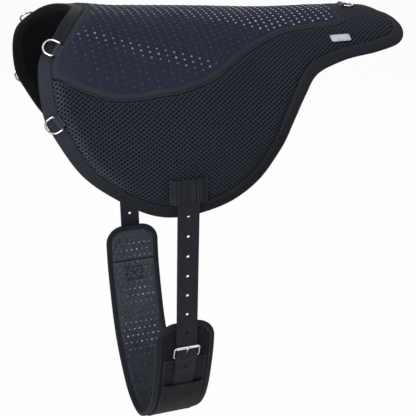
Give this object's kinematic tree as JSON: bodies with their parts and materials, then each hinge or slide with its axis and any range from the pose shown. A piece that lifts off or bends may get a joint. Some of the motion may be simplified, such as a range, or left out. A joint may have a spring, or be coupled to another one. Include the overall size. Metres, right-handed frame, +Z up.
{
  "type": "bareback pad",
  "caption": "Padded fabric bareback riding pad shaped to a horse's back, with D-rings, webbing billets under elastic keepers, and a padded girth with roller buckles.",
  "frame": {"origin": "under the arch at the spine, in line with the billets, where the pad rests on the horse's back", "axes": "+X to the tail, +Z up, +Y to the far side, so the pictured near side faces -Y"},
  "size_m": [0.7772, 0.4776, 0.9377],
  "materials": {
    "foam": "soft foam, hidden by the covers",
    "lining": "black perforated non-slip lining",
    "mesh": "black spacer mesh",
    "seat": "navy knit with small light dots",
    "seat_edge": "dark piping",
    "binding": "slate-black edge binding, smooth",
    "webbing": "black webbing, close weave",
    "elastic": "ribbed dark elastic",
    "girth": "dark close-woven cover",
    "label": "blank grey woven label",
    "chrome": "polished nickel-plated wire"
  },
  "bodies": {
    "pad": {"lining": "lining", "foam_core": "foam", "mesh_cover": "mesh", "edge_binding": "binding", "seat_foam": "foam", "seat_cover": "seat", "seat_piping": "seat_edge", "girth_belt": "webbing", "near_keeper": "elastic", "far_keeper": "elastic", "near_upper_tab": "webbing", "near_lower_tab": "webbing", "far_upper_tab": "webbing", "far_lower_tab": "webbing", "rear_tab": "webbing", "blank_label": "label"},
    "near_upper_d_ring": {"near_upper_ring": "chrome"},
    "near_lower_d_ring": {"near_lower_ring": "chrome"},
    "far_upper_d_ring": {"far_upper_ring": "chrome"},
    "far_lower_d_ring": {"far_lower_ring": "chrome"},
    "rear_d_ring": {"rear_ring": "chrome"},
    "girth": {"near_billet": "webbing", "far_billet": "webbing", "girth_core": "foam", "girth_cover": "girth", "girth_lining": "lining", "girth_binding": "binding", "girth_webbing": "webbing", "near_chape": "webbing", "far_chape": "webbing", "near_girth_keeper": "webbing", "far_girth_keeper": "webbing"},
    "near_buckle": {"near_buckle_frame": "chrome"},
    "near_roller": {"near_buckle_roller": "chrome"},
    "near_tongue": {"near_buckle_tongue": "chrome"},
    "far_buckle": {"far_buckle_frame": "chrome"},
    "far_roller": {"far_buckle_roller": "chrome"},
    "far_tongue": {"far_buckle_tongue": "chrome"}
  },
  "joints": [
    {"name": "near_upper_ring_swing", "type": "hinge", "parent": "pad", "child": "near_upper_d_ring", "pos_m": [-0.21421, -0.12821, -0.00805], "axis": [0.6104, 0.4751, 0.6338], "range_deg": [0, 150]},
    {"name": "near_lower_ring_swing", "type": "hinge", "parent": "pad", "child": "near_lower_d_ring", "pos_m": [-0.2273, -0.17427, -0.1312], "axis": [-0.5418, 0.1518, 0.8267], "range_deg": [0, 150]},
    {"name": "far_upper_ring_swing", "type": "hinge", "parent": "pad", "child": "far_upper_d_ring", "pos_m": [-0.21421, 0.12821, -0.00805], "axis": [-0.6104, 0.4751, -0.6338], "range_deg": [0, 150]},
    {"name": "far_lower_ring_swing", "type": "hinge", "parent": "pad", "child": "far_lower_d_ring", "pos_m": [-0.2273, 0.17427, -0.1312], "axis": [0.5418, 0.1518, -0.8267], "range_deg": [0, 150]},
    {"name": "rear_ring_swing", "type": "hinge", "parent": "pad", "child": "rear_d_ring", "pos_m": [0.41317, 0, -0.00083], "axis": [0, -1, 0], "range_deg": [0, 150]},
    {"name": "girth_swing", "type": "hinge", "parent": "pad", "child": "girth", "pos_m": [0, 0, -0.26958], "axis": [0, 1, 0], "range_deg": [-5, 5]},
    {"name": "near_buckle_tip", "type": "hinge", "parent": "girth", "child": "near_buckle", "pos_m": [0, -0.20815, -0.64986], "axis": [1, 0, 0], "range_deg": [0, 3]},
    {"name": "near_roller_turn", "type": "hinge", "parent": "near_buckle", "child": "near_roller", "pos_m": [0, -0.21654, -0.62484], "axis": [1, 0, 0], "continuous": true},
    {"name": "near_tongue_lift", "type": "hinge", "parent": "near_buckle", "child": "near_tongue", "pos_m": [0, -0.20815, -0.64986], "axis": [1, 0, 0], "range_deg": [0, 3]},
    {"name": "far_buckle_tip", "type": "hinge", "parent": "girth", "child": "far_buckle", "pos_m": [0, 0.21326, -0.6162], "axis": [-1, 0, 0], "range_deg": [0, 3]},
    {"name": "far_roller_turn", "type": "hinge", "parent": "far_buckle", "child": "far_roller", "pos_m": [0, 0.21918, -0.59048], "axis": [-1, 0, 0], "continuous": true},
    {"name": "far_tongue_lift", "type": "hinge", "parent": "far_buckle", "child": "far_tongue", "pos_m": [0, 0.21326, -0.6162], "axis": [-1, 0, 0], "range_deg": [0, 3]}
  ]
}
